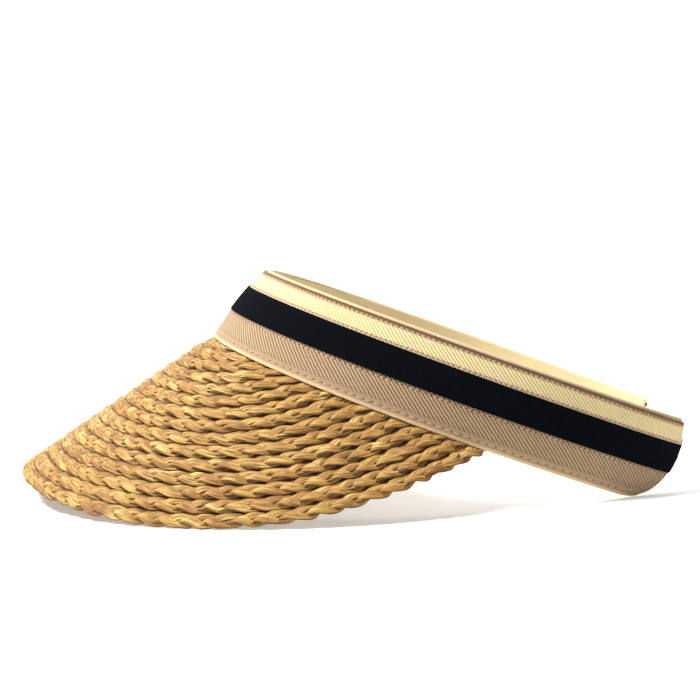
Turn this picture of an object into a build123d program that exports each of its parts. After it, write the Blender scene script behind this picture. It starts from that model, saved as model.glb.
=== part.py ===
from build123d import *
from math import ceil, cos, radians, sin
import os

# Open-back sun visor: a springy C-shaped band with a deep brim of plaited raffia.
#
# Millimetres, +Z up.  The brim points along -Y, and the visor is the same on both sides of
# the plane X = 0.  It stands on a table as it is laid down: on the two side edges of the brim
# and on the lower corners of the two rear arms.  The origin lies on the table, under the
# middle of the visor.

os.makedirs("parts", exist_ok=True)

# --- Driving dimensions ---------------------------------------------------------------------

# The band's lower outer edge is a plan curve of four tangent arcs on each side.  Places along
# it are arc lengths s from the middle of the forehead: s > 0 on the +X side, s < 0 on the other.
FOREHEAD_RADIUS, FOREHEAD_END = 72.5, 75.0
TEMPLE_RADIUS, TEMPLE_END = 95.0, 108.0
SIDE_RADIUS, SIDE_END = 170.0, 215.0
REAR_RADIUS, ARM_END = 79.0, 246.0

BAND_HEIGHT = 36.0        # edge to edge, across the strip
BAND_TILT = 21.1          # the forehead stands higher than the rear ends, degrees
LEAN_FRONT = 18.7         # the strip leans inwards at the forehead, degrees from the band's axis
LEAN_REAR = 6.5           # and less so at the rear ends
CORNER_RADIUS = 28.0      # rounded lower corner at each rear end

# The layers of the band, from the outside in.  Each depth is measured from the tape's face.
RIBBON_THICKNESS, RIBBON_HEIGHT, RIBBON_LOW = 0.5, 12.0, 13.7
TAPE_THICKNESS = 0.9
SPRING_THICKNESS, SPRING_HEIGHT = 1.0, 30.0
LINING_THICKNESS = 1.2
LINING_LOW = 1.0          # the leaning strip's inner face would otherwise hang below its outer face
LAYER_GAP = 0.05          # keeps two curved layers from sharing a surface
THREAD_PROUD, THREAD_HEIGHT, THREAD_GAP = 0.3, 0.5, 0.12
SEAMS = {                 # height of each lockstitch seam above the lower edge
    "lower_edge_seam": 3.0,
    "ribbon_lower_seam": RIBBON_LOW - 1.0,
    "ribbon_upper_seam": RIBBON_LOW + RIBBON_HEIGHT + 1.0,
    "upper_edge_seam": BAND_HEIGHT - 2.5,
}

# The arms flex behind the brim.  Each one turns about a line across the strip.
HINGE_AT = 172.0
HINGE_GAP = 1.4           # room between a layer and its continuation on the arm

# The brim hangs from the band's lower edge.  Its depth and slope change along the edge.
BRIM_DEPTH = 97.5         # at the middle of the forehead
BRIM_END = 159.0          # arc length at which the brim runs out
BRIM_FULLNESS = 2.4       # exponent of the rim's outline
BRIM_SLOPE = 54.5         # degrees below the band's plane at the forehead
SLOPE_CHANGE_2, SLOPE_CHANGE_4 = -8.1, -20.3
BRIM_SET_IN = 1.0         # the tape's lower edge stands proud of the plait
PLAIT_ROWS, PLAIT_THICKNESS, PLAIT_GAP = 15, 2.4, 0.3
PLAIT_WIDTH = BRIM_DEPTH / PLAIT_ROWS
PLAIT_FLANK = 0.7         # bevel along the plait's two flanks
SEAT_GAP = 0.35           # the plait stops this far below the band's lower edge
TUCK = 8.0                # how far a row's line runs on above the band's lower edge

# Lines on the brim are held as places 3 mm apart.  Lofts take a section every 11 mm along the
# band, and at every third place of a row, but never fewer than seven on the shortest rows.
PLACE_STEP, RIM_PLACES = 3.0, 58
SECTION_STEP = 11.0
PLACES_PER_SECTION, LEAST_SECTION_STEPS = 3, 6

# --- The band's plan curve ------------------------------------------------------------------

# X is across, Y rearwards in the band's plane, Z along the band's axis.  The height of this
# plane sets the lowest points of the visor on the table, and its offset centres the visor.
TABLE_LIFT = 27.82
CENTRE_SHIFT = 37.45
PLAN_MIDDLE = 100.0       # forehead to the origin of the plan curve
PLAN_ARCS = (
    (FOREHEAD_RADIUS, FOREHEAD_END),
    (TEMPLE_RADIUS, TEMPLE_END),
    (SIDE_RADIUS, SIDE_END),
    (REAR_RADIUS, ARM_END),
)
BAND_PLANE = Plane(
    origin=(0, CENTRE_SHIFT, TABLE_LIFT),
    x_dir=(1, 0, 0),
    z_dir=(0, sin(radians(BAND_TILT)), cos(radians(BAND_TILT))),
)


def plan_curve(s):
    """Point and heading of the band's lower outer edge in the band's plane."""
    x, y, heading, start = 0.0, -PLAN_MIDDLE, 0.0, 0.0
    for radius, end in PLAN_ARCS:
        stop = min(abs(s), end)
        turned = heading + (stop - start) / radius
        x += radius * (sin(turned) - sin(heading))
        y -= radius * (cos(turned) - cos(heading))
        heading, start = turned, stop
    side = -1 if s < 0 else 1
    return side * x, y, side * heading


def outward(s):
    """Level direction out of the band, square to its plan curve."""
    heading = plan_curve(s)[2]
    return Vector(sin(heading), -cos(heading), 0)


def lean(s):
    """Inward lean of the strip, in radians."""
    return radians(LEAN_FRONT + (LEAN_REAR - LEAN_FRONT) * min(abs(s) / ARM_END, 1))


def across_strip(s):
    """Direction up the strip, from its lower edge to its upper edge."""
    return Vector(0, 0, cos(lean(s))) - outward(s) * sin(lean(s))


def strip_normal(s):
    """Direction out of the strip's outer face."""
    return outward(s) * cos(lean(s)) + Vector(0, 0, sin(lean(s)))


def strip_point(s, height, depth):
    """Point of the band: height up the strip, depth inwards from its outer face."""
    x, y, _ = plan_curve(s)
    return Vector(x, y, 0) + across_strip(s) * height - strip_normal(s) * depth


def to_table(point):
    return BAND_PLANE.from_local_coords(point)


def direction_to_table(vector):
    return to_table(vector) - to_table(Vector(0, 0, 0))


def strip_section(s, height, depth):
    """Plane across the strip at s: local X points out of the band, Y across the strip."""
    heading = plan_curve(s)[2]
    return Plane(
        origin=to_table(strip_point(s, height, depth)),
        x_dir=direction_to_table(strip_normal(s)),
        z_dir=direction_to_table(Vector(cos(heading), sin(heading), 0)),
    )


def stations(start, stop):
    """Evenly spaced places from start to stop, both included."""
    steps = ceil(abs(stop - start) / SECTION_STEP)
    return [start + (stop - start) * i / steps for i in range(steps + 1)]


# --- The band -------------------------------------------------------------------------------

def keep(builder, label):
    """Label the finished piece and write its file."""
    builder.part.label = label
    export_step(builder.part, f"parts/{label}.step")


def make_layer(label, start, stop, depth, thickness, low, height):
    """One layer of the band between two places, with the arm's lower corner rounded off."""
    with BuildPart() as layer:
        for s in stations(start, stop):
            with BuildSketch(strip_section(s, low + height / 2, depth + thickness / 2)):
                Rectangle(thickness, height)
        loft()
        if abs(stop) == ARM_END:
            side = 1 if stop > 0 else -1
            centre = ARM_END - CORNER_RADIUS
            corner = Plane(
                origin=to_table(strip_point(side * centre, CORNER_RADIUS, 0)),
                x_dir=strip_section(side * centre, 0, 0).z_dir * side,
                z_dir=direction_to_table(strip_normal(side * centre)) * side,
            )
            with BuildSketch(corner):
                with Locations((CORNER_RADIUS, -CORNER_RADIUS)):
                    Rectangle(2 * CORNER_RADIUS, 2 * CORNER_RADIUS)
                Circle(CORNER_RADIUS, mode=Mode.SUBTRACT)
            extrude(amount=CORNER_RADIUS, both=True, mode=Mode.SUBTRACT)
    keep(layer, label)


lining_depth = TAPE_THICKNESS + SPRING_THICKNESS + 2 * LAYER_GAP
LAYERS = {                # name: depth, thickness, low edge, height
    "twill_tape": (0, TAPE_THICKNESS, 0, BAND_HEIGHT),
    "grosgrain_ribbon": (-RIBBON_THICKNESS - LAYER_GAP, RIBBON_THICKNESS, RIBBON_LOW, RIBBON_HEIGHT),
    "spring_strip": (
        TAPE_THICKNESS + LAYER_GAP, SPRING_THICKNESS, (BAND_HEIGHT - SPRING_HEIGHT) / 2, SPRING_HEIGHT
    ),
    "inner_lining": (lining_depth, LINING_THICKNESS, LINING_LOW, BAND_HEIGHT - LINING_LOW),
}
for seam, seam_height in SEAMS.items():
    low_edge = seam_height - THREAD_HEIGHT / 2
    LAYERS[seam] = (-THREAD_PROUD - THREAD_GAP, THREAD_PROUD, low_edge, THREAD_HEIGHT)

front_stop = HINGE_AT - HINGE_GAP / 2
arm_start = HINGE_AT + HINGE_GAP / 2
for layer_name, measures in LAYERS.items():
    make_layer(f"{layer_name}_front", -front_stop, front_stop, *measures)
    make_layer(f"{layer_name}_left_arm", arm_start, ARM_END, *measures)
    make_layer(f"{layer_name}_right_arm", -arm_start, -ARM_END, *measures)

# --- The brim -------------------------------------------------------------------------------

def brim_point(s, reach):
    """Point of the brim's middle surface, reach away from the band's lower edge at s."""
    along = min(abs(s) / BRIM_END, 1)
    slope = radians(BRIM_SLOPE + SLOPE_CHANGE_2 * along**2 + SLOPE_CHANGE_4 * along**4)
    fall = outward(s) * cos(slope) - Vector(0, 0, sin(slope))
    x, y, _ = plan_curve(s)
    return Vector(x, y, 0) - outward(s) * BRIM_SET_IN + fall * reach


def rim_reach(s):
    """Depth of the brim at s, from the band to its rim."""
    return BRIM_DEPTH * (1 - (abs(s) / BRIM_END) ** BRIM_FULLNESS)


def line_direction(line, i):
    """Direction of a line on the brim at its i-th place."""
    return brim_point(*line[min(i + 1, len(line) - 1)]) - brim_point(*line[max(i - 1, 0)])


def even_out(line):
    """The same line with its places evenly spaced, and eased where a stiff plait can't turn."""
    points = [brim_point(*place) for place in line]
    gone = [0.0]
    for before, after in zip(points, points[1:]):
        gone.append(gone[-1] + (after - before).length)
    steps = round(gone[-1] / PLACE_STEP)
    even, k = [], 0
    for i in range(steps + 1):
        target = gone[-1] * i / steps
        while k < len(line) - 2 and gone[k + 1] < target:
            k += 1
        part = (target - gone[k]) / (gone[k + 1] - gone[k])
        even.append([a + (b - a) * part for a, b in zip(line[k], line[k + 1])])
    eased = [
        tuple((a + 2 * b + c) / 4 for a, b, c in zip(*three))
        for three in zip(even, even[1:], even[2:])
    ]
    return [tuple(even[0])] + eased + [tuple(even[-1])]


def inset_line(line, distance):
    """Move a line on the brim inwards along the surface, square to itself.

    A line is a list of (s, reach) pairs.  What runs up behind the band is dropped.
    """
    moved = []
    for i, (s, reach) in enumerate(line):
        here = brim_point(s, reach)
        along = line_direction(line, i)
        ruling = brim_point(s, reach + 1) - here
        fan = brim_point(s + 1, reach) - here
        inward = along.cross(ruling).cross(along).normalized() * -distance
        sideways = fan - ruling * fan.dot(ruling)
        step = inward.dot(sideways) / sideways.dot(sideways)
        moved.append((s + step, reach + inward.dot(ruling) - step * fan.dot(ruling)))
    return [place for place in even_out(moved) if place[1] > -TUCK]


def plait_section(line, i):
    """Plane across a row of plait at its i-th place: local X runs across the row."""
    s, reach = line[i]
    here = brim_point(s, reach)
    along = line_direction(line, i)
    normal = along.cross(brim_point(s, reach + 1) - here)
    return Plane(
        origin=to_table(here),
        x_dir=direction_to_table(normal.cross(along)),
        z_dir=direction_to_table(along),
    )


def spread(places):
    """Indices of a row's sections: both ends, and evenly between them."""
    steps = max(places // PLACES_PER_SECTION, LEAST_SECTION_STEPS)
    return [round(i * (places - 1) / steps) for i in range(steps + 1)]


BAND_SEAT = BAND_PLANE.offset(-SEAT_GAP)
half_width = PLAIT_WIDTH / 2
rim_places = [PLACE_STEP * i for i in range(-RIM_PLACES, RIM_PLACES + 1)]
row_line = [(s, rim_reach(s)) for s in rim_places]
for row in range(1, PLAIT_ROWS + 1):
    row_line = inset_line(row_line, half_width)
    with BuildPart() as plait:
        for i in spread(len(row_line)):
            with BuildSketch(plait_section(row_line, i)) as profile:
                Rectangle(PLAIT_WIDTH - PLAIT_GAP, PLAIT_THICKNESS)
                chamfer(profile.vertices(), PLAIT_FLANK)
        loft()
        split(bisect_by=BAND_SEAT, keep=Keep.BOTTOM)
    keep(plait, f"plait_row_{row:02d}")
    row_line = inset_line(row_line, half_width)
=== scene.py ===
# %% [markdown]
# # A sun visor of plaited raffia
#
# The visor is a springy C-shaped band with a deep brim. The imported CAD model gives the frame:
# where each row of plait and each layer of the band lies, and the two lines across the band
# where the rear arms flex. This lesson dresses that frame. The brim becomes real three-strand
# plaits of split raffia, the band a twill tape with woven ribs, a grosgrain ribbon, a twill
# lining and rows of lockstitches.

# %% Load the frame
from functools import partial

import bmesh
import bpy
import numpy as np
from mathutils import Matrix, Vector


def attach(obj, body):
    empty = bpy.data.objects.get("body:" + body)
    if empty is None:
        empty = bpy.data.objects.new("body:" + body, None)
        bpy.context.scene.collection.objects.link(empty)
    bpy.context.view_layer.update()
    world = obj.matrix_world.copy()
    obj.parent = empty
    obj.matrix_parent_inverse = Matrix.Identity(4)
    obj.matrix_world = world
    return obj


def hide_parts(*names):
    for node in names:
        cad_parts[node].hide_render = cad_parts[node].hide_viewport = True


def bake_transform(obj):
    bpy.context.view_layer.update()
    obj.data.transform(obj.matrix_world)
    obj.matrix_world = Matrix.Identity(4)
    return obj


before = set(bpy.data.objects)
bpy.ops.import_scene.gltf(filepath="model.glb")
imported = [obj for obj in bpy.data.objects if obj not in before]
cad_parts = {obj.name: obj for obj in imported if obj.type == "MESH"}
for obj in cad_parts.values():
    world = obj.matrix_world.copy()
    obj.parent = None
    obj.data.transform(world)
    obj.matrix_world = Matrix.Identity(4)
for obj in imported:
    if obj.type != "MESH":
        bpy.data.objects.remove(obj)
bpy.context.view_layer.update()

MM = 0.001

# %% [markdown]
# ## The shape that everything follows
#
# The band's lower edge is a flat curve of four tangent arcs on each side, and a place on it is
# its arc length `s` from the middle of the forehead. The strip stands on that curve and leans
# inwards, and its cloth bows out a little between the edges. Apart from the bow, these are the
# CAD model's own dimensions, here in metres, worked on whole arrays at once so that a fine mesh
# takes no time.

# %% The band's curve and the leaning strip
# Forehead, temple, side and rear: the arc's radius and the arc length at its end, in millimetres.
PLAN_ARCS = ((72.5, 75.0), (95.0, 108.0), (170.0, 215.0), (79.0, 246.0))
ARM_END = PLAN_ARCS[-1][1] * MM
PLAN_MIDDLE = 100.0 * MM
BAND_HEIGHT = 36.0 * MM
LEAN_FRONT, LEAN_REAR = np.radians(18.7), np.radians(6.5)
BAND_TILT = np.radians(21.1)
BAND_ORIGIN = np.array([0, 37.45, 27.82]) * MM
BAND_BOW = 1.2 * MM
HINGE_AT = 172.0 * MM

BAND_AXIS = np.array([0, np.sin(BAND_TILT), np.cos(BAND_TILT)])
BAND_REARWARD = np.array([0, np.cos(BAND_TILT), -np.sin(BAND_TILT)])
ACROSS = np.array([1.0, 0, 0])


def stack(x, y, z):
    """Arrays of band-plane coordinates as points or directions of the visor's own frame."""
    x, y, z = np.broadcast_arrays(x, y, z)
    return x[..., None] * ACROSS + y[..., None] * BAND_REARWARD + z[..., None] * BAND_AXIS


def plan_curve(s):
    """Point and heading of the band's lower outer edge, in the band's plane."""
    size = np.abs(s)
    x, y = np.zeros_like(size), np.full_like(size, -PLAN_MIDDLE)
    heading, start = np.zeros_like(size), np.zeros_like(size)
    for radius, end in PLAN_ARCS:
        radius *= MM
        stop = np.minimum(size, end * MM)
        turned = heading + (stop - start) / radius
        x = x + radius * (np.sin(turned) - np.sin(heading))
        y = y - radius * (np.cos(turned) - np.cos(heading))
        heading, start = turned, stop
    side = np.where(s < 0, -1.0, 1.0)
    return side * x, y, side * heading


def strip_frame(s):
    """Base point, outward face normal, direction up the strip, and direction along it."""
    x, y, heading = plan_curve(s)
    lean = LEAN_FRONT + (LEAN_REAR - LEAN_FRONT) * np.abs(s) / ARM_END
    out_x, out_y = np.sin(heading), -np.cos(heading)
    normal = stack(out_x * np.cos(lean), out_y * np.cos(lean), np.sin(lean))
    up = stack(-out_x * np.sin(lean), -out_y * np.sin(lean), np.cos(lean))
    return BAND_ORIGIN + stack(x, y, 0 * x), normal, up, stack(-out_y, out_x, 0 * x)


def strip_point(s, height, depth):
    """Points of the band: height up the strip, depth inwards from the tape's face.

    Cloth sewn along both edges bows out a little between them.
    """
    s, height, depth = np.broadcast_arrays(np.asarray(s, float), height, depth)
    depth = depth - BAND_BOW * np.sin(np.pi * height / BAND_HEIGHT)
    base, normal, up, _ = strip_frame(s)
    return base + up * height[..., None] - normal * depth[..., None]


print("tape face at the forehead:", strip_point(0.0, 0.0, 0.0).round(4))

# %% [markdown]
# The brim is a ruled surface: straight lines fan out from the band's lower edge and fall away
# from it, steeply over the forehead and more gently at the sides. Its rows of plait lie side by
# side from the rim inwards, as they are sewn, so each row's line is the last one moved inwards,
# square to itself. A stiff plait can't turn a corner, so each line is also eased a little.

# %% The brim's surface and its rows
BRIM_DEPTH, BRIM_END, BRIM_FULLNESS = 97.5 * MM, 159.0 * MM, 2.4
BRIM_SLOPES = np.radians([54.5, -8.1, -20.3])
BRIM_SET_IN = 1.0 * MM
ROW_COUNT = 15
PLAIT_PITCH = BRIM_DEPTH / ROW_COUNT
PLACE_STEP, RIM_PLACES, TUCK = 3.0 * MM, 58, 8.0 * MM


def brim_point(s, reach):
    """Points of the brim's middle surface, reach away from the band's lower edge at s."""
    s, reach = np.broadcast_arrays(np.asarray(s, float), reach)
    along = np.minimum(np.abs(s) / BRIM_END, 1)
    slope = BRIM_SLOPES[0] + BRIM_SLOPES[1] * along**2 + BRIM_SLOPES[2] * along**4
    x, y, heading = plan_curve(s)
    away = reach * np.cos(slope) - BRIM_SET_IN
    x, y = x + np.sin(heading) * away, y - np.cos(heading) * away
    return BAND_ORIGIN + stack(x, y, -reach * np.sin(slope))


def unit(v):
    return v / np.linalg.norm(v, axis=-1, keepdims=True)


def dots(a, b):
    return (a * b).sum(-1)


def line_frame(s, reach):
    """A line on the brim: its points, its directions along, out and inwards, and the ruling."""
    here = brim_point(s, reach)
    ahead = np.concatenate([here[1:], here[-1:]]) - np.concatenate([here[:1], here[:-1]])
    ruling = (brim_point(s, reach + MM) - here) / MM
    out = unit(np.cross(ruling, ahead))
    return here, unit(ahead), out, unit(np.cross(out, ahead)), ruling


def resample(values, points, step):
    """Values at even steps along a line of points."""
    gone = np.concatenate([[0], np.cumsum(np.linalg.norm(np.diff(points, axis=0), axis=1))])
    even = np.linspace(0, gone[-1], max(int(round(gone[-1] / step)), 2) + 1)
    return [np.interp(even, gone, value) for value in values]


def inset_line(s, reach, distance):
    """A line on the brim moved inwards along the surface, evened out and eased."""
    here, _, _, inward, ruling = line_frame(s, reach)
    fan = (brim_point(s + MM, reach) - here) / MM
    sideways = fan - ruling * dots(fan, ruling)[:, None]
    step = distance * dots(inward, sideways) / dots(sideways, sideways)
    fall = distance * dots(inward, ruling) - step * dots(fan, ruling)
    s, reach = s + step, reach + fall
    s, reach = resample((s, reach), brim_point(s, reach), PLACE_STEP)
    for line in (s, reach):
        line[1:-1] = (line[:-2] + 2 * line[1:-1] + line[2:]) / 4
    kept = reach > -TUCK
    return s[kept], reach[kept]


places = np.arange(-RIM_PLACES, RIM_PLACES + 1) * PLACE_STEP
line = (places, BRIM_DEPTH * (1 - (np.abs(places) / BRIM_END) ** BRIM_FULLNESS))
rows = []
for _ in range(ROW_COUNT):
    line = inset_line(*line, PLAIT_PITCH / 2)
    rows.append(line)
    line = inset_line(*line, PLAIT_PITCH / 2)
print(len(rows), "rows of plait; the rim's line has", len(rows[0][0]), "places")

# %% [markdown]
# ## Helpers for node trees
#
# Both geometry and shader trees are built in code. One short helper adds a node, sets its
# options, and fills or links its inputs, so that a tree reads as a list of steps.

# %% A helper for nodes
def add(tree, kind, *inputs, **options):
    """Add a node; inputs are (socket name or number, value or output socket) pairs."""
    node = tree.nodes.new(kind)
    for option, value in options.items():
        setattr(node, option, value)
    for name, value in inputs:
        if isinstance(value, bpy.types.NodeSocket):
            tree.links.new(value, node.inputs[name])
        else:
            node.inputs[name].default_value = value
    return node


def calc(tree, operation, *values):
    """Output of a Math node in a geometry or shader tree."""
    return add(tree, "ShaderNodeMath", *enumerate(values), operation=operation).outputs[0]


def vector_calc(tree, operation, *values):
    """Output of a Vector Math node; a number scales when the operation is SCALE."""
    node = add(tree, "ShaderNodeVectorMath", operation=operation)
    for i, value in enumerate(values):
        socket = node.inputs["Scale"] if operation == "SCALE" and i == 1 else node.inputs[i]
        if isinstance(value, bpy.types.NodeSocket):
            tree.links.new(value, socket)
        else:
            socket.default_value = value
    return node.outputs["Value" if operation in ("DOT_PRODUCT", "LENGTH") else "Vector"]


def new_tree(name, kind, inputs, outputs):
    """A node group with named sockets, and its input and output nodes."""
    tree = bpy.data.node_groups.new(name, kind)
    for direction, sockets in (("INPUT", inputs), ("OUTPUT", outputs)):
        for socket, form, *default in sockets:
            made = tree.interface.new_socket(socket, in_out=direction, socket_type="NodeSocket" + form)
            if default:
                made.default_value = default[0]
    return tree, tree.nodes.new("NodeGroupInput").outputs, tree.nodes.new("NodeGroupOutput").inputs


def run_tree(tree, name, mesh, values):
    """Run a geometry tree over a mesh and return the result as a plain object."""
    holder = bpy.data.objects.new(name, mesh)
    bpy.context.scene.collection.objects.link(holder)
    modifier = holder.modifiers.new("build", "NODES")
    modifier.node_group = tree
    for item in tree.interface.items_tree:
        if item.in_out == "INPUT" and item.name in values:
            modifier[item.identifier] = values[item.name]
    evaluated = holder.evaluated_get(bpy.context.evaluated_depsgraph_get())
    made = bpy.data.meshes.new_from_object(evaluated)
    made.name = name
    holder.modifiers.remove(modifier)
    holder.data = made
    bpy.data.meshes.remove(mesh)
    return holder


def path_mesh(name, points, **directions):
    """A polyline with a vector attribute for each named direction."""
    mesh = bpy.data.meshes.new(name)
    mesh.from_pydata([tuple(p) for p in points], [(i, i + 1) for i in range(len(points) - 1)], [])
    for key, values in directions.items():
        attribute = mesh.attributes.new(key, "FLOAT_VECTOR", "POINT")
        attribute.data.foreach_set("vector", np.asarray(values, np.float32).ravel())
    return mesh


print("helpers ready")

# %% [markdown]
# ## Colours and surfaces
#
# Two shader groups are shared. `Twill weave` gives the diagonal ribs of a twill from a place on
# the cloth (metres along it and up it), and `Needle holes` marks a row of holes along a seam.
# Both give only masks; each material decides what to do with them.

# %% Shader groups
TWILL_RIB, TWILL_DASH = 2.0 * MM, 0.9 * MM
TWILL_LEAN = 1.0 / np.tan(np.radians(38))
HOLE_SIZE = 0.45 * MM

weave_group, given, result = new_tree(
    "Twill weave", "ShaderNodeTree",
    [
        ("Place", "Vector"), ("Rib", "Float", TWILL_RIB), ("Lean", "Float", TWILL_LEAN),
        ("Dash", "Float", TWILL_DASH),
    ],
    [("Height", "Float"), ("Groove", "Float")],
)
maths = partial(calc, weave_group)      # a maths node in the tree that is being filled
along_cloth, up_cloth, _ = add(weave_group, "ShaderNodeSeparateXYZ", (0, given["Place"])).outputs
noise = add(weave_group, "ShaderNodeTexNoise", ("Vector", given["Place"]), ("Scale", 900.0), ("Detail", 3.0))
fuzz = noise.outputs["Fac"]
waver = maths("MULTIPLY", maths("SUBTRACT", fuzz, 0.5), 0.22)
phase = maths("ADD", along_cloth, maths("MULTIPLY", up_cloth, given["Lean"]))
phase = maths("ADD", maths("DIVIDE", phase, given["Rib"]), waver)
off_rib = maths("ABSOLUTE", maths("SUBTRACT", maths("FRACT", phase), 0.5))
groove = maths("POWER", maths("MULTIPLY", off_rib, 2.0), 1.4)
dash_at = maths("SUBTRACT", up_cloth, maths("MULTIPLY", along_cloth, 0.35))
dash_at = maths("DIVIDE", dash_at, given["Dash"])
dash_off = maths("ABSOLUTE", maths("SUBTRACT", maths("FRACT", dash_at), 0.5))
dash = maths("SUBTRACT", 1.15, maths("MULTIPLY", dash_off, 1.3))
weave_group.links.new(maths("MULTIPLY", groove, dash), result["Groove"])
height = maths("SUBTRACT", maths("MULTIPLY", dash_off, 0.25), groove)
height = maths("ADD", height, maths("MULTIPLY", fuzz, 0.3))
weave_group.links.new(height, result["Height"])

hole_group, given, result = new_tree(
    "Needle holes", "ShaderNodeTree",
    [("Place", "Vector"), ("Seam height", "Float"), ("Pitch", "Float"), ("Size", "Float", HOLE_SIZE)],
    [("Mask", "Float")],
)
maths = partial(calc, hole_group)
along_cloth, up_cloth, _ = add(hole_group, "ShaderNodeSeparateXYZ", (0, given["Place"])).outputs
off_seam = maths("SUBTRACT", up_cloth, given["Seam height"])
turns = maths("FRACT", maths("ADD", maths("DIVIDE", along_cloth, given["Pitch"]), 0.5))
off_hole = maths("MULTIPLY", maths("SUBTRACT", turns, 0.5), given["Pitch"])
away = maths("SQRT", maths("ADD", maths("POWER", off_seam, 2.0), maths("POWER", off_hole, 2.0)))
mask = maths("SUBTRACT", 1.0, maths("DIVIDE", away, given["Size"]))
mask = add(hole_group, "ShaderNodeClamp", ("Value", maths("MULTIPLY", mask, 1.8))).outputs[0]
hole_group.links.new(mask, result["Mask"])
print("shader groups:", weave_group.name, "and", hole_group.name)

# %% [markdown]
# The seams are named once, because the tape, its needle holes and the stitches all use them:
# each has a height up the band and the spacing of its holes.

# %% Seams
SEAMS = {
    "lower_edge": (2.4 * MM, 3.6 * MM),
    "ribbon_lower": (12.7 * MM, 2.4 * MM),
    "ribbon_upper": (26.7 * MM, 2.2 * MM),
    "upper_edge": (33.5 * MM, 2.3 * MM),
}


def new_material(name, roughness, specular, sheen=0.0, sheen_tint=(1, 1, 1, 1)):
    """A material with a Principled surface; returns it with its tree and surface node."""
    material = bpy.data.materials.new(name)
    material.use_nodes = True
    tree = material.node_tree
    surface = tree.nodes["Principled BSDF"]
    surface.inputs["Roughness"].default_value = roughness
    surface.inputs["Specular IOR Level"].default_value = specular
    surface.inputs["Sheen Weight"].default_value = sheen
    surface.inputs["Sheen Tint"].default_value = sheen_tint
    return material, tree, surface


def fill_group(tree, group, inputs):
    """A node of a shader group with its inputs filled or linked."""
    node = tree.nodes.new("ShaderNodeGroup" if tree.type == "SHADER" else "GeometryNodeGroup")
    node.node_tree = group
    for name, value in inputs:
        if isinstance(value, bpy.types.NodeSocket):
            tree.links.new(value, node.inputs[name])
        else:
            node.inputs[name].default_value = value
    return node


def mix(tree, factor, first, second):
    """Output of a colour mix."""
    node = add(tree, "ShaderNodeMix", data_type="RGBA")
    sockets = (node.inputs["Factor"], node.inputs[6], node.inputs[7])
    for socket, value in zip(sockets, (factor, first, second)):
        if isinstance(value, bpy.types.NodeSocket):
            tree.links.new(value, socket)
        else:
            socket.default_value = value
    return node.outputs[2]


def ease(tree, value, low, high, at_low=0.0, at_high=1.0):
    """Output that goes from at_low to at_high while a value goes from low to high."""
    return add(
        tree, "ShaderNodeMapRange", ("Value", value), ("From Min", low), ("From Max", high),
        ("To Min", at_low), ("To Max", at_high), clamp=True,
    ).outputs[0]


def bump(tree, surface, height, distance):
    """Relief on a surface: the height times the distance."""
    node = add(tree, "ShaderNodeBump", ("Height", height), ("Distance", distance), ("Strength", 1.0))
    tree.links.new(node.outputs["Normal"], surface.inputs["Normal"])


def ramp(tree, value, *stops):
    """A colour ramp through (position, colour) stops."""
    node = tree.nodes.new("ShaderNodeValToRGB")
    elements = node.color_ramp.elements
    while len(elements) < len(stops):
        elements.new(0.5)
    for element, (position, colour) in zip(elements, stops):
        element.position, element.color = position, (*colour, 1)
    tree.links.new(value, node.inputs[0])
    return node.outputs["Color"]


def cloth_place(tree):
    """The place on the cloth: along it, up it, and in from its face."""
    return add(tree, "ShaderNodeAttribute", attribute_name="weave").outputs["Vector"]


# The tape: cream twill, plain near the lower edge, with its needle holes. Its lower part is darker
# and pinker than its upper part: partly the tape's own tone, partly painted shade.
twill_material, tree, surface = new_material("cream twill", 0.9, 0.2, 0.25, (1.0, 0.9, 0.75, 1))
place = cloth_place(tree)
weave = fill_group(tree, weave_group, [("Place", place)]).outputs
up_band = calc(tree, "DIVIDE", add(tree, "ShaderNodeSeparateXYZ", (0, place)).outputs[1], BAND_HEIGHT)
base = ramp(
    tree, up_band,
    (0.0, (0.72, 0.54, 0.31)), (0.025, (0.66, 0.48, 0.28)),      # the lower edge
    (0.04, (0.38, 0.27, 0.165)), (0.12, (0.36, 0.25, 0.155)),    # the plain stretch with its seam, darker: own tone and painted shade
    (0.135, (0.53, 0.375, 0.225)), (0.35, (0.55, 0.395, 0.24)),  # the lower ribs, darker than the upper: own tone and painted shade
    (0.365, (0.32, 0.22, 0.14)), (0.70, (0.32, 0.22, 0.14)),     # a painted shadow just below the ribbon; the part under it is hidden
    (0.715, (0.84, 0.62, 0.42)), (0.735, (0.84, 0.62, 0.42)),    # a pinker line above the ribbon
    (0.75, (0.95, 0.81, 0.42)), (0.90, (0.97, 0.84, 0.44)),      # the upper ribs
    (0.92, (0.62, 0.38, 0.21)), (0.935, (0.52, 0.29, 0.15)),     # the upper seam
    (0.945, (0.13, 0.06, 0.025)),                                # the upper edge: a painted shadow under the lining's bead
)
ribbed = ease(tree, up_band, 0.10, 0.13)
# Painted shade in the grooves between the twill's ribs, stronger on the lower half of the tape.
groove_shade_by_height = ease(tree, up_band, 0.5, 0.7, 1.4, 0.6)
groove_shade = calc(tree, "MULTIPLY", calc(tree, "MULTIPLY", weave["Groove"], ribbed), groove_shade_by_height)
shade = mix(tree, calc(tree, "MINIMUM", groove_shade, 1.0), base, (0.10, 0.055, 0.03, 1))
mottle = add(tree, "ShaderNodeTexNoise", ("Vector", place), ("Scale", 420.0), ("Detail", 3.0)).outputs["Fac"]
patches = calc(tree, "MULTIPLY", calc(tree, "SUBTRACT", 1.0, mottle), 0.25)
shade = mix(tree, patches, shade, (0.45, 0.28, 0.16, 1))
for height, pitch in SEAMS.values():
    holes = fill_group(tree, hole_group, [("Place", place), ("Seam height", height), ("Pitch", pitch)])
    shade = mix(tree, calc(tree, "MULTIPLY", holes.outputs[0], 0.85), shade, (0.10, 0.055, 0.035, 1))
tree.links.new(shade, surface.inputs["Base Color"])
raised = calc(tree, "ADD", calc(tree, "MULTIPLY", ribbed, 0.8), 0.2)
bump(tree, surface, calc(tree, "MULTIPLY", weave["Height"], raised), 0.25 * MM)

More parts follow.
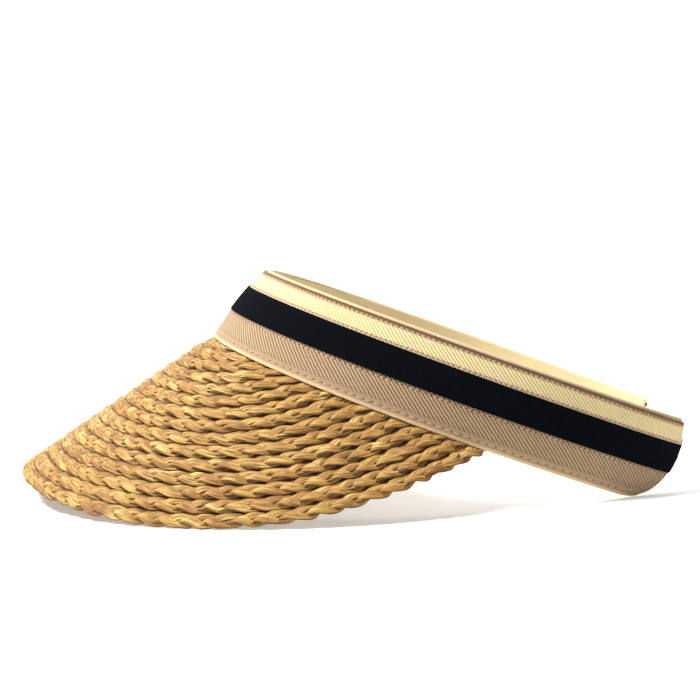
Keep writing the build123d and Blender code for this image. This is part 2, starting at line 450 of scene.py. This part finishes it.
# The lining: a finer, paler twill.
lining_material, tree, surface = new_material("lining twill", 0.9, 0.2, 0.25, (1.0, 0.95, 0.85, 1))
place = cloth_place(tree)
weave = fill_group(tree, weave_group, [("Place", place), ("Rib", 1.3 * MM), ("Dash", 0.7 * MM)]).outputs
# Painted shade in the grooves between the lining's ribs.
shade = mix(tree, calc(tree, "MULTIPLY", weave["Groove"], 0.6), (0.88, 0.72, 0.42, 1), (0.42, 0.27, 0.13, 1))
tree.links.new(shade, surface.inputs["Base Color"])
bump(tree, surface, weave["Height"], 0.15 * MM)

# The ribbon: blue-black and matt. Its ribs are in its mesh.
ribbon_material, tree, surface = new_material("black grosgrain", 0.85, 0.03)
place = cloth_place(tree)
grain = add(tree, "ShaderNodeTexNoise", ("Vector", place), ("Scale", 1500.0), ("Detail", 2.0)).outputs["Fac"]
shade = mix(tree, grain, (0.0015, 0.0021, 0.0036, 1), (0.0035, 0.0044, 0.0070, 1))
tree.links.new(shade, surface.inputs["Base Color"])
bump(tree, surface, grain, 0.08 * MM)

# Thread and spring.
thread_material, tree, surface = new_material("cotton thread", 0.8, 0.25)
surface.inputs["Base Color"].default_value = (0.54, 0.37, 0.23, 1)
spring_material, tree, surface = new_material("spring strip", 0.45, 0.4)
surface.inputs["Base Color"].default_value = (0.75, 0.75, 0.72, 1)

# Raffia: split leaf, streaked along its length, with painted shade on each strand's flanks and where it dips
# under the next row.
raffia_material, tree, surface = new_material("raffia", 0.62, 0.35, 0.1, (1.0, 0.85, 0.6, 1))
fibre = add(tree, "ShaderNodeAttribute", attribute_name="fibre").outputs["Vector"]
lap = add(tree, "ShaderNodeAttribute", attribute_name="lap").outputs["Vector"]
lap_xyz = add(tree, "ShaderNodeSeparateXYZ", (0, lap)).outputs


def streaks(scale_along, scale_round, detail):
    """Noise drawn out along the strand."""
    stretched = vector_calc(tree, "MULTIPLY", fibre, (scale_along, scale_round, scale_round))
    noise = add(tree, "ShaderNodeTexNoise", ("Vector", stretched), ("Scale", 1.0), ("Detail", detail))
    return noise.outputs["Fac"]


fine, broad, patch = streaks(170.0, 2000.0, 3.0), streaks(60.0, 800.0, 2.0), streaks(80.0, 60.0, 2.0)
tone = calc(tree, "ADD", calc(tree, "MULTIPLY", broad, 0.5), calc(tree, "MULTIPLY", patch, 0.5))
base = ramp(
    tree, tone,
    (0.30, (0.19, 0.078, 0.018)), (0.42, (0.36, 0.180, 0.042)),
    (0.53, (0.56, 0.335, 0.082)), (0.68, (0.84, 0.67, 0.235)),
)
blush = ease(tree, streaks(70.0, 420.0, 2.0), 0.56, 0.72)
base = mix(tree, calc(tree, "MULTIPLY", blush, 0.7), base, (0.44, 0.19, 0.07, 1))
cracks = calc(tree, "SUBTRACT", 1.0, ease(tree, fine, 0.40, 0.53))
shade = mix(tree, calc(tree, "MULTIPLY", cracks, 0.8), base, (0.20, 0.085, 0.020, 1))
# Painted shade on the flanks of each strand, where it meets its neighbours.
flank_shade = ease(tree, calc(tree, "ABSOLUTE", lap_xyz[1]), 0.55, 0.15)
shade = mix(tree, calc(tree, "MULTIPLY", flank_shade, 0.8), shade, (0.085, 0.032, 0.008, 1))
# Painted shade on the part of each row that lies under the next row.
tucked_shade = ease(tree, lap_xyz[0], 1.5 * MM, 2.7 * MM)
shade = mix(tree, calc(tree, "MULTIPLY", tucked_shade, 0.85), shade, (0.08, 0.028, 0.006, 1))
tree.links.new(shade, surface.inputs["Base Color"])
relief = calc(tree, "ADD", calc(tree, "MULTIPLY", fine, 0.6), calc(tree, "MULTIPLY", broad, 0.6))
bump(tree, surface, relief, 0.8 * MM)
print("materials:", ", ".join(m.name for m in (twill_material, ribbon_material, raffia_material)))

# %% [markdown]
# ## The plaited brim
#
# A flat three-strand plait is three copies of one path. Each strand swings from edge to edge of
# the row once in 28 mm and rises and dips twice in that time, which carries it over one
# neighbour and under the other. `Raffia strand` sweeps a flattened tube along such a path: a
# grid is laid out in (along, around) and every point is set to its place on the row's line.

# %% Node group: one strand
PINCH_REACH = 2 * MM      # a strand closes to a point over this length at each end
DOME_REACH = 3.4 * MM     # this far from its middle a plait has fallen by its dome

strand_group, given, result = new_tree(
    "Raffia strand", "GeometryNodeTree",
    [
        ("Geometry", "Geometry"), ("Start", "Float"), ("Seed", "Float"), ("Pitch", "Float", 28 * MM),
        ("Swing", "Float", 1.55 * MM), ("Rise", "Float", 0.75 * MM), ("Width", "Float", 4.3 * MM),
        ("Thickness", "Float", 1.7 * MM), ("Roll", "Float", 0.25), ("Dome", "Float", 0.6 * MM),
        ("Shift", "Float", 0.0), ("Step", "Float", 0.7 * MM), ("Around", "Int", 18),
    ],
    [("Geometry", "Geometry")],
)
tree = strand_group
maths = partial(calc, tree)
curve = add(tree, "GeometryNodeMeshToCurve", ("Mesh", given["Geometry"])).outputs["Curve"]
length = add(tree, "GeometryNodeCurveLength", ("Curve", curve)).outputs["Length"]
steps = maths("ADD", maths("DIVIDE", length, given["Step"]), 1.0)
grid = add(
    tree, "GeometryNodeMeshGrid", ("Size X", 1.0), ("Size Y", 1.0), ("Vertices X", steps),
    ("Vertices Y", maths("ADD", given["Around"], 1.0)),
).outputs["Mesh"]
place = add(tree, "ShaderNodeSeparateXYZ", (0, add(tree, "GeometryNodeInputPosition").outputs[0])).outputs
along = maths("MULTIPLY", maths("ADD", place[0], 0.5), length)
ring = maths("MULTIPLY", place[1], 2 * np.pi)


def sampled(attribute):
    """A direction stored on the row's line, read at each point's distance along it."""
    named = add(tree, "GeometryNodeInputNamedAttribute", ("Name", attribute), data_type="FLOAT_VECTOR")
    return add(
        tree, "GeometryNodeSampleCurve", ("Curves", curve), ("Value", named.outputs["Attribute"]),
        ("Length", along), mode="LENGTH", data_type="FLOAT_VECTOR", use_all_curves=True,
    ).outputs


def wander(scale, shift, size):
    """Slow seeded noise along the strand, centred on zero."""
    where = maths("ADD", along, maths("MULTIPLY", given["Seed"], shift))
    noise = add(
        tree, "ShaderNodeTexNoise", ("W", where), ("Scale", scale), ("Detail", 1.0), noise_dimensions="1D",
    )
    return maths("MULTIPLY", maths("SUBTRACT", noise.outputs["Fac"], 0.5), size)


across, out = sampled("across"), sampled("out")
turn = maths("ADD", maths("DIVIDE", along, given["Pitch"]), given["Start"])
turn = maths("ADD", maths("MULTIPLY", turn, 2 * np.pi), wander(60.0, 3.1, 1.6))
from_end = maths("MINIMUM", along, maths("SUBTRACT", length, along))
pinch = maths("MINIMUM", maths("SQRT", maths("DIVIDE", from_end, PINCH_REACH)), 1.0)
fullness = maths("MULTIPLY", pinch, maths("ADD", 1.0, wander(110.0, 5.7, 0.5)))
half_width = maths("MULTIPLY", maths("MULTIPLY", given["Width"], 0.5), fullness)
half_thick = maths("MULTIPLY", maths("MULTIPLY", given["Thickness"], 0.5), pinch)
side = maths("MULTIPLY", half_width, maths("SINE", ring))
rise = maths("MULTIPLY", half_thick, maths("COSINE", ring))
twice = maths("MULTIPLY", turn, 2.0)
roll = maths("MULTIPLY", maths("MULTIPLY", maths("COSINE", turn), maths("COSINE", twice)), given["Roll"])
cosine, sine = maths("COSINE", roll), maths("SINE", roll)
across_by = maths("ADD", maths("MULTIPLY", given["Swing"], maths("SINE", turn)), wander(90.0, 8.3, 0.5 * MM))
rolled_side = maths("SUBTRACT", maths("MULTIPLY", side, cosine), maths("MULTIPLY", rise, sine))
across_by = maths("ADD", maths("ADD", across_by, rolled_side), given["Shift"])
out_by = maths("ADD", maths("MULTIPLY", given["Rise"], maths("SINE", twice)), wander(80.0, 9.9, 0.25 * MM))
rolled_rise = maths("ADD", maths("MULTIPLY", side, sine), maths("MULTIPLY", rise, cosine))
out_by = maths("ADD", out_by, rolled_rise)
from_middle = maths("DIVIDE", across_by, DOME_REACH)
fall = maths("MULTIPLY", maths("MULTIPLY", from_middle, from_middle), given["Dome"])
out_by = maths("SUBTRACT", out_by, fall)
offset = vector_calc(
    tree, "ADD", vector_calc(tree, "SCALE", across["Value"], across_by),
    vector_calc(tree, "SCALE", out["Value"], out_by),
)
shift = maths("ADD", along, maths("MULTIPLY", given["Seed"], 1.7))
fibre = add(tree, "ShaderNodeCombineXYZ", (0, shift), (1, side), (2, rise)).outputs[0]
lap = add(tree, "ShaderNodeCombineXYZ", (0, across_by), (1, maths("COSINE", ring))).outputs[0]
stored = grid
for name, value in (("fibre", fibre), ("lap", lap)):
    stored = add(
        tree, "GeometryNodeStoreNamedAttribute", ("Geometry", stored), ("Name", name), ("Value", value),
        data_type="FLOAT_VECTOR", domain="POINT",
    ).outputs[0]
position = vector_calc(tree, "ADD", across["Position"], offset)
placed = add(tree, "GeometryNodeSetPosition", ("Geometry", stored), ("Position", position))
merged = add(tree, "GeometryNodeMergeByDistance", ("Geometry", placed.outputs[0]), ("Distance", 0.003 * MM))
smooth = add(tree, "GeometryNodeSetShadeSmooth", ("Geometry", merged.outputs[0]), ("Shade Smooth", True))
tree.links.new(smooth.outputs[0], result["Geometry"])
print("strand group:", len(strand_group.nodes), "nodes")

# %% [markdown]
# `Plait` lays three strands a third of a swing apart on the same line. A thin flat core runs
# inside them and under the next row. It is there to close the small holes where strands cross
# and rows meet, as the loose fibres and the seam allowance of a real plait do. Some stay open.

# %% Node group: a plait
plait_group, given, result = new_tree(
    "Plait", "GeometryNodeTree",
    [("Geometry", "Geometry"), ("Row start", "Float"), ("Seed", "Float"), ("Material", "Material")],
    [("Geometry", "Geometry")],
)
tree = plait_group
joined = tree.nodes.new("GeometryNodeJoinGeometry")
for strand in range(3):
    strand_node = fill_group(tree, strand_group, [
        ("Geometry", given["Geometry"]),
        ("Start", calc(tree, "ADD", given["Row start"], strand / 3)),
        ("Seed", calc(tree, "ADD", given["Seed"], strand + 1.0)),
    ])
    tree.links.new(strand_node.outputs[0], joined.inputs[0])
core = fill_group(tree, strand_group, [
    ("Geometry", given["Geometry"]), ("Seed", given["Seed"]), ("Swing", 0.0), ("Rise", 0.0),
    ("Roll", 0.0), ("Width", 8.6 * MM), ("Thickness", 0.6 * MM), ("Dome", 0.0), ("Shift", 1.6 * MM),
    ("Step", 2 * MM), ("Around", 8),
])
tree.links.new(core.outputs[0], joined.inputs[0])
realized = add(tree, "GeometryNodeRealizeInstances", ("Geometry", joined.outputs[0]))
finished = add(
    tree, "GeometryNodeSetMaterial", ("Geometry", realized.outputs[0]), ("Material", given["Material"]),
)
tree.links.new(finished.outputs[0], result["Geometry"])

# %% [markdown]
# Each row is tilted a little so that its outer edge lies on the row outside it, as rows of
# plait are lapped when they are sewn. Near the band it is pressed flat and inwards, because its
# ends and the innermost row lie under the tape. What still stands above the tape's lower edge
# is cut off there.

# %% The fifteen rows
LAP_TILT = np.radians(13)
PRESS_REACH, PRESS_BY, PRESS_TO = 8 * MM, 1.1 * MM, 0.7
START_STEP = 0.618        # each row begins its plait at another point of the pattern
CUT_AT = -0.2 * MM


def smoothstep(x):
    """0 to 1 with a gentle start and end."""
    x = np.clip(x, 0, 1)
    return x * x * (3 - 2 * x)


def cut_at_band(thing):
    """Cut a closed mesh off just under the band and close what was cut."""
    mesh = bmesh.new()
    mesh.from_mesh(thing.data)
    everything = mesh.verts[:] + mesh.edges[:] + mesh.faces[:]
    plane = Vector(BAND_ORIGIN + BAND_AXIS * CUT_AT)
    bmesh.ops.bisect_plane(
        mesh, geom=everything, dist=1e-7, plane_co=plane, plane_no=Vector(BAND_AXIS), clear_outer=True,
    )
    bmesh.ops.holes_fill(mesh, edges=[e for e in mesh.edges if e.is_boundary], sides=0)
    bmesh.ops.recalc_face_normals(mesh, faces=mesh.faces)
    mesh.to_mesh(thing.data)
    mesh.free()


rows_made = []
for i, (s, reach) in enumerate(rows, 1):
    s, reach = resample((s, reach), brim_point(s, reach), MM)
    here, _, out, inward, _ = line_frame(s, reach)
    pressed = smoothstep((PRESS_REACH - reach) / PRESS_REACH)[:, None]
    across_row = inward * np.cos(LAP_TILT) - out * np.sin(LAP_TILT)
    out_row = (out * np.cos(LAP_TILT) + inward * np.sin(LAP_TILT)) * (1 - (1 - PRESS_TO) * pressed)
    mesh = path_mesh(f"raffia_row_{i:02d}", here - out * PRESS_BY * pressed, across=across_row, out=out_row)
    row = run_tree(plait_group, f"raffia_row_{i:02d}", mesh, {
        "Row start": (i * START_STEP) % 1, "Seed": 10.0 * i, "Material": raffia_material,
    })
    cut_at_band(row)
    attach(row, "visor_front")
    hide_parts(f"plait_row_{i:02d}")
    rows_made.append(row)
print(len(rows_made), "rows,", sum(len(r.data.polygons) for r in rows_made), "faces")

# %% [markdown]
# ## The band
#
# Every layer of the band is a closed section swept along it: a ring of (height, depth) points
# repeated at each place. The rear lower corner is rounded by 28 mm and the upper one by 1 mm,
# so near the end the ring is squeezed between the two outlines.

# %% Sweeping a layer
CORNER, TOP_CORNER = 28 * MM, 1.0 * MM


def low_outline(s):
    """Height of the strip's lower edge: none, until the corner rounds it up."""
    over = np.clip(np.abs(s) - (ARM_END - CORNER), 0, CORNER)
    return CORNER - np.sqrt(CORNER**2 - over**2)


def high_outline(s, top):
    """Height of a layer's upper edge, rounded down at the arm's end."""
    over = np.clip(np.abs(s) - (ARM_END - TOP_CORNER), 0, TOP_CORNER)
    return top - (TOP_CORNER - np.sqrt(TOP_CORNER**2 - over**2))


def places_along(step):
    """Places along half the band, closer where the corner turns."""
    straight = ARM_END - CORNER
    return np.concatenate([
        np.linspace(0, straight, int(straight / step))[:-1],
        straight + CORNER * np.sin(np.linspace(0, np.pi / 2, 64)),
    ])


def sweep_layer(name, side, ring, step, material, relief=None, inset=0.0):
    """A closed strip with the (height, depth) ring as its section, along one half of the band."""
    s = places_along(step)
    ring = np.array(ring)
    low, top = ring[:, 0].min(), ring[:, 0].max()
    floor = np.maximum(low, low_outline(s) + inset)[:, None]
    ceiling = high_outline(s, top)[:, None]
    share = (ring[None, :, 0] - low) / (top - low)
    height = floor + share * (ceiling - floor)
    depth = np.broadcast_to(ring[None, :, 1], height.shape).copy()
    along = np.broadcast_to(s[:, None] * side, height.shape)
    if relief:
        height, depth = relief(along, height, depth)
    points = strip_point(along, height, depth)
    count, around = height.shape
    index = np.arange(count * around).reshape(count, around)
    here, ahead = index[:-1], index[1:]
    quads = np.stack([here, ahead, np.roll(ahead, -1, 1), np.roll(here, -1, 1)], -1).reshape(-1, 4)
    faces = quads.tolist() + [index[0].tolist(), index[-1].tolist()]
    mesh = bpy.data.meshes.new(name)
    mesh.from_pydata(points.reshape(-1, 3).tolist(), [], faces)
    made = bmesh.new()
    made.from_mesh(mesh)
    bmesh.ops.recalc_face_normals(made, faces=made.faces)
    made.to_mesh(mesh)
    made.free()
    attribute = mesh.attributes.new("weave", "FLOAT_VECTOR", "POINT")
    attribute.data.foreach_set("vector", np.stack([along, height, depth], -1).astype(np.float32).ravel())
    mesh.shade_smooth()
    mesh.set_sharp_from_angle(angle=np.radians(40))
    mesh.materials.append(material)
    layer = bpy.data.objects.new(name, mesh)
    bpy.context.scene.collection.objects.link(layer)
    return layer


def closed_ring(low, high, outer, inner, edge=0.25 * MM, near=(), step=1.2 * MM, inner_points=2):
    """Outer face from low to high, closely spaced near given heights, then the inner face back."""
    heights = set(np.linspace(low + edge, high - edge, int((high - low) / step) + 1).round(6))
    for seam in near:
        heights |= set((seam + np.linspace(-1.2, 1.2, 11) * MM).round(6))
    heights = [h for h in sorted(heights) if low + edge <= h <= high - edge]
    kept = [heights[0]]
    for h in heights[1:]:
        if h - kept[-1] > 0.1 * MM:
            kept.append(h)
    face = [(h, outer) for h in kept]
    upper_edge = [(high, outer + edge), (high, inner - edge)]
    back = [(h, inner) for h in np.linspace(high - edge, low + edge, inner_points)]
    return [(low, outer + edge)] + face + upper_edge + back + [(low, inner - edge)]


print("corner outline at the arm's end:", low_outline(np.array([ARM_END])))

# %% [markdown]
# The tape is dimpled where needles went through it and drawn in a little along each seam. The
# ribbon has a real rib every 1.2 mm, which also makes its edges finely toothed. The lining
# folds over the spring at the top and shows as a pale bead above the tape.

# %% The four layers on each side
TAPE_TOP, LINING_TOP = 35.0 * MM, 36.4 * MM
RIBBON_LOW, RIBBON_TOP, RIBBON_RIB = 13.7 * MM, 25.7 * MM, 1.2 * MM
DRAWN_BY, DIMPLE = 0.10 * MM, 0.22 * MM      # how far a seam and its needle holes sink the tape
RIB_DEPTH, TOOTH = 0.09 * MM, 0.12 * MM


def tape_relief(s, height, depth):
    """Sink the tape's face along its seams, most at the needle holes."""
    outer = depth < 0.5 * MM
    sunk = np.zeros_like(depth)
    for seam, pitch in SEAMS.values():
        drawn = np.exp(-(((height - seam) / (0.55 * MM)) ** 2))
        tight = np.exp(-(((height - seam) / (0.4 * MM)) ** 2))
        hole = (0.5 + 0.5 * np.cos(2 * np.pi * s / pitch)) ** 3
        sunk += DRAWN_BY * drawn + DIMPLE * tight * hole
    return height, depth + sunk * outer


def ribbon_relief(s, height, depth):
    """Raise the ribbon's ribs, and let them stand out at its edges."""
    rib = 0.5 + 0.5 * np.cos(2 * np.pi * s / RIBBON_RIB)
    middle = (RIBBON_LOW + RIBBON_TOP) / 2
    toothed = height + np.sign(height - middle) * TOOTH * rib * (np.abs(height - middle) > 5.6 * MM)
    return toothed, depth - RIB_DEPTH * rib * (depth < -0.2 * MM)


# Each layer: its section, the step along the band, material, relief, corner inset and slot.
LAYERS = {
    "twill_tape": (
        closed_ring(0.0, TAPE_TOP, 0.0, 0.9 * MM, near=[h for h, _ in SEAMS.values()]),
        0.55 * MM, twill_material, tape_relief, 0.0, "twill",
    ),
    "grosgrain_ribbon": (
        closed_ring(RIBBON_LOW, RIBBON_TOP, -0.45 * MM, -0.02 * MM, edge=0.12 * MM, step=2 * MM),
        0.24 * MM, ribbon_material, ribbon_relief, 0.25 * MM, "ribbon",
    ),
    "spring_strip": (
        closed_ring(3.0 * MM, 33.0 * MM, 0.95 * MM, 1.95 * MM, step=10 * MM),
        2 * MM, spring_material, None, 1 * MM, "spring",
    ),
    "inner_lining": (
        [(1.0 * MM, 2.25 * MM), (33.6 * MM, 2.0 * MM), (33.9 * MM, 1.3 * MM),
         (LINING_TOP - 1.0 * MM, 1.05 * MM),
         (LINING_TOP - 0.45 * MM, 1.2 * MM), (LINING_TOP - 0.1 * MM, 1.6 * MM), (LINING_TOP, 2.1 * MM),
         (LINING_TOP - 0.2 * MM, 2.7 * MM), (LINING_TOP - 0.8 * MM, 3.2 * MM), (20 * MM, 3.2 * MM),
         (1.3 * MM, 3.2 * MM), (1.0 * MM, 2.9 * MM)],
        MM, lining_material, None, 0.4 * MM, "lining",
    ),
}


def bend_at_hinge(piece, side):
    """Bake the piece's transform into its mesh; the direction along the band at the hinge is worked out but
    not used.
    """
    _, _, _, ahead = strip_frame(np.array(side * HINGE_AT))
    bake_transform(piece)


SIDES = {"left": 1, "right": -1}
for layer, (ring, step, material, relief, inset, slot) in LAYERS.items():
    for word, side in SIDES.items():
        piece = sweep_layer(f"{layer}_{word}", side, ring, step, material, relief, inset)
        bend_at_hinge(piece, side)
        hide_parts(f"{layer}_front", f"{layer}_{word}_arm")
        print(piece.name, len(piece.data.polygons), "faces")

# %% [markdown]
# ## Stitches
#
# A lockstitch shows as a short length of thread between two needle holes. The line of places is
# worked out along each seam, and a small node group lays one thread on each, turned along the
# seam and flat to the cloth.

# %% Rows of stitches
stitch_group, given, result = new_tree(
    "Row of stitches", "GeometryNodeTree",
    [
        ("Geometry", "Geometry"), ("Length", "Float", 1.9 * MM), ("Width", "Float", 0.55 * MM),
        ("Height", "Float", 0.4 * MM), ("Seed", "Int", 1), ("Material", "Material"),
    ],
    [("Geometry", "Geometry")],
)
tree = stitch_group
curve = add(tree, "GeometryNodeMeshToCurve", ("Mesh", given["Geometry"])).outputs["Curve"]
thread = add(tree, "GeometryNodeMeshUVSphere", ("Segments", 6), ("Rings", 6), ("Radius", 0.5)).outputs["Mesh"]
tangent = add(tree, "GeometryNodeInputTangent").outputs[0]
outward = add(tree, "GeometryNodeInputNamedAttribute", ("Name", "out"), data_type="FLOAT_VECTOR")
turned = add(tree, "FunctionNodeAlignRotationToVector", ("Vector", tangent), axis="X")
turned = add(
    tree, "FunctionNodeAlignRotationToVector", ("Rotation", turned.outputs[0]),
    ("Vector", outward.outputs["Attribute"]), axis="Z", pivot_axis="X",
)
varied = tree.nodes.new("FunctionNodeRandomValue")
varied.inputs[2].default_value, varied.inputs[3].default_value = 0.86, 1.08
tree.links.new(given["Seed"], varied.inputs["Seed"])
size = add(
    tree, "ShaderNodeCombineXYZ", (0, calc(tree, "MULTIPLY", given["Length"], varied.outputs[1])),
    (1, given["Width"]), (2, given["Height"]),
).outputs[0]
laid = add(
    tree, "GeometryNodeInstanceOnPoints", ("Points", curve), ("Instance", thread),
    ("Rotation", turned.outputs[0]), ("Scale", size),
)
realized = add(tree, "GeometryNodeRealizeInstances", ("Geometry", laid.outputs[0]))
smooth = add(tree, "GeometryNodeSetShadeSmooth", ("Geometry", realized.outputs[0]), ("Shade Smooth", True))
finished = add(
    tree, "GeometryNodeSetMaterial", ("Geometry", smooth.outputs[0]), ("Material", given["Material"]),
)
tree.links.new(finished.outputs[0], result["Geometry"])

THREAD_DEPTH = 0.02 * MM
STITCH_SHARE = 0.72                    # of the spacing of the holes
SEAM_TURN = np.radians(62)             # how far the lower edge's seam follows the corner
EDGE_ROOM, END_ROOM = 0.8 * MM, 1.2 * MM   # a seam keeps this far from the edge and the end


def seam_line(seam, pitch, side):
    """Places of a seam's stitches; the lower edge's seam follows the rounded corner."""
    s = np.arange(0.5, ARM_END / pitch) * pitch
    if seam == SEAMS["lower_edge"][0]:
        radius = CORNER - seam
        straight = s[s < ARM_END - CORNER]
        turns = np.arange(pitch / 2, radius * SEAM_TURN, pitch) / radius
        height = np.concatenate([np.full(len(straight), seam), CORNER - radius * np.cos(turns)])
        return np.concatenate([straight, ARM_END - CORNER + radius * np.sin(turns)]) * side, height
    s = s[(low_outline(s) < seam - EDGE_ROOM) & (s < ARM_END - END_ROOM)]
    return s * side, np.full(len(s), seam)


for number, (seam_name, (seam, pitch)) in enumerate(SEAMS.items()):
    for word, side in SIDES.items():
        s, height = seam_line(seam, pitch, side)
        points = strip_point(s, height, THREAD_DEPTH)
        mesh = path_mesh(f"{seam_name}_stitches_{word}", points, out=strip_frame(s)[1])
        piece = run_tree(stitch_group, f"{seam_name}_stitches_{word}", mesh, {
            "Length": pitch * STITCH_SHARE, "Seed": number * 2 + (side > 0), "Material": thread_material,
        })
        bend_at_hinge(piece, side)
        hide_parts(f"{seam_name}_seam_front", f"{seam_name}_seam_{word}_arm")
print("stitches done")

# %% [markdown]
# ## The cloth
# #
# # The tape, ribbon and lining are sheets sewn flat to the spring.

# %% [markdown]
# ## Floor, light and camera
#
# A white floor sweeps up into a white backdrop and glows a little, as a light table does, so
# the shadows stay faint. It lies 0.4 mm under the CAD model's table, because the outermost
# plait is about that much fuller than its plain solid. A soft light stands in front of the
# visor and above it, so the forehead is bright and the rear falls into soft shade. The plain sRGB view
# keeps the straw golden, where a filmic one would grey it.

# %% Stage
FLOOR = -0.4 * MM
FLOOR_REACH, HALF_WIDTH = 9.0, 9.0                     # metres
SWEEP_FROM, SWEEP_RADIUS, BACKDROP_TOP = 1.2, 0.8, 3.0
backdrop, _, surface = new_material("white paper", 0.9, 0.5)
surface.inputs["Base Color"].default_value = (0.92, 0.92, 0.92, 1)
surface.inputs["Emission Color"].default_value = (1, 1, 1, 1)
surface.inputs["Emission Strength"].default_value = 0.3

profile = [(FLOOR_REACH, FLOOR)]
for turn in np.linspace(0, np.pi / 2, 24):
    profile.append((-SWEEP_FROM - SWEEP_RADIUS * np.sin(turn), FLOOR + SWEEP_RADIUS * (1 - np.cos(turn))))
profile.append((-SWEEP_FROM - SWEEP_RADIUS, BACKDROP_TOP))
mesh = bpy.data.meshes.new("floor")
mesh.from_pydata(
    [(x, y, z) for x, z in profile for y in (-HALF_WIDTH, HALF_WIDTH)], [],
    [(2 * i, 2 * i + 1, 2 * i + 3, 2 * i + 2) for i in range(len(profile) - 1)],
)
mesh.shade_smooth()
mesh.materials.append(backdrop)
floor = bpy.data.objects.new("floor", mesh)
bpy.context.scene.collection.objects.link(floor)


def area_light(name, place, aim, size, power, colour=(1, 1, 1)):
    """A square soft light at a place, facing a point."""
    light = bpy.data.lights.new(name, "AREA")
    light.shape, light.size, light.energy, light.color = "SQUARE", size, power, colour
    lamp = bpy.data.objects.new(name, light)
    bpy.context.scene.collection.objects.link(lamp)
    place = Vector(place)
    facing = (Vector(aim) - place).to_track_quat("-Z", "Y").to_matrix().to_4x4()
    lamp.matrix_world = Matrix.Translation(place) @ facing


centre = (0, 0, 50 * MM)
area_light("front light", (0.24, -1.0, 1.55), centre, 0.5, 58, (1.0, 0.98, 0.93))
area_light("side light", (1.5, -0.3, 1.0), centre, 1.2, 0.5, (1.0, 0.97, 0.93))
area_light("backdrop light", (-0.9, 0, 1.5), (-2.0, 0, 0.2), 1.0, 22)
world = bpy.data.worlds.new("studio")
world.use_nodes = True
world.node_tree.nodes["Background"].inputs["Color"].default_value = (1, 1, 1, 1)
world.node_tree.nodes["Background"].inputs["Strength"].default_value = 0.20
bpy.context.scene.world = world
bpy.context.scene.view_settings.view_transform = "Standard"

# %% [markdown]
# The camera looks along the row from the wearer's left, a little above the table.

# %% Camera
CAMERA_TARGET = np.array([-1.83, 1.83, 55.90]) * MM
CAMERA_DISTANCE, CAMERA_RISE, CAMERA_ROLL = 684.6 * MM, np.radians(3.89), np.radians(1.05)
CAMERA_LENS, CAMERA_SENSOR = 82.29, 36.0


def rolled(x, y, z):
    """A direction turned about the line of sight's level part."""
    turn_cos, turn_sin = np.cos(CAMERA_ROLL), np.sin(CAMERA_ROLL)
    return Vector((x, y * turn_cos + z * turn_sin, z * turn_cos - y * turn_sin))


right = rolled(0, 1, 0)
upward = rolled(-np.sin(CAMERA_RISE), 0, np.cos(CAMERA_RISE))
back = rolled(np.cos(CAMERA_RISE), 0, np.sin(CAMERA_RISE))
camera = bpy.data.objects.new("camera", bpy.data.cameras.new("camera"))
camera.data.lens, camera.data.sensor_width = CAMERA_LENS, CAMERA_SENSOR
spot = Vector(CAMERA_TARGET) + back * CAMERA_DISTANCE
camera.matrix_world = Matrix((
    (right.x, upward.x, back.x, spot.x), (right.y, upward.y, back.y, spot.y),
    (right.z, upward.z, back.z, spot.z), (0, 0, 0, 1),
))
bpy.context.scene.collection.objects.link(camera)
bpy.context.scene.camera = camera
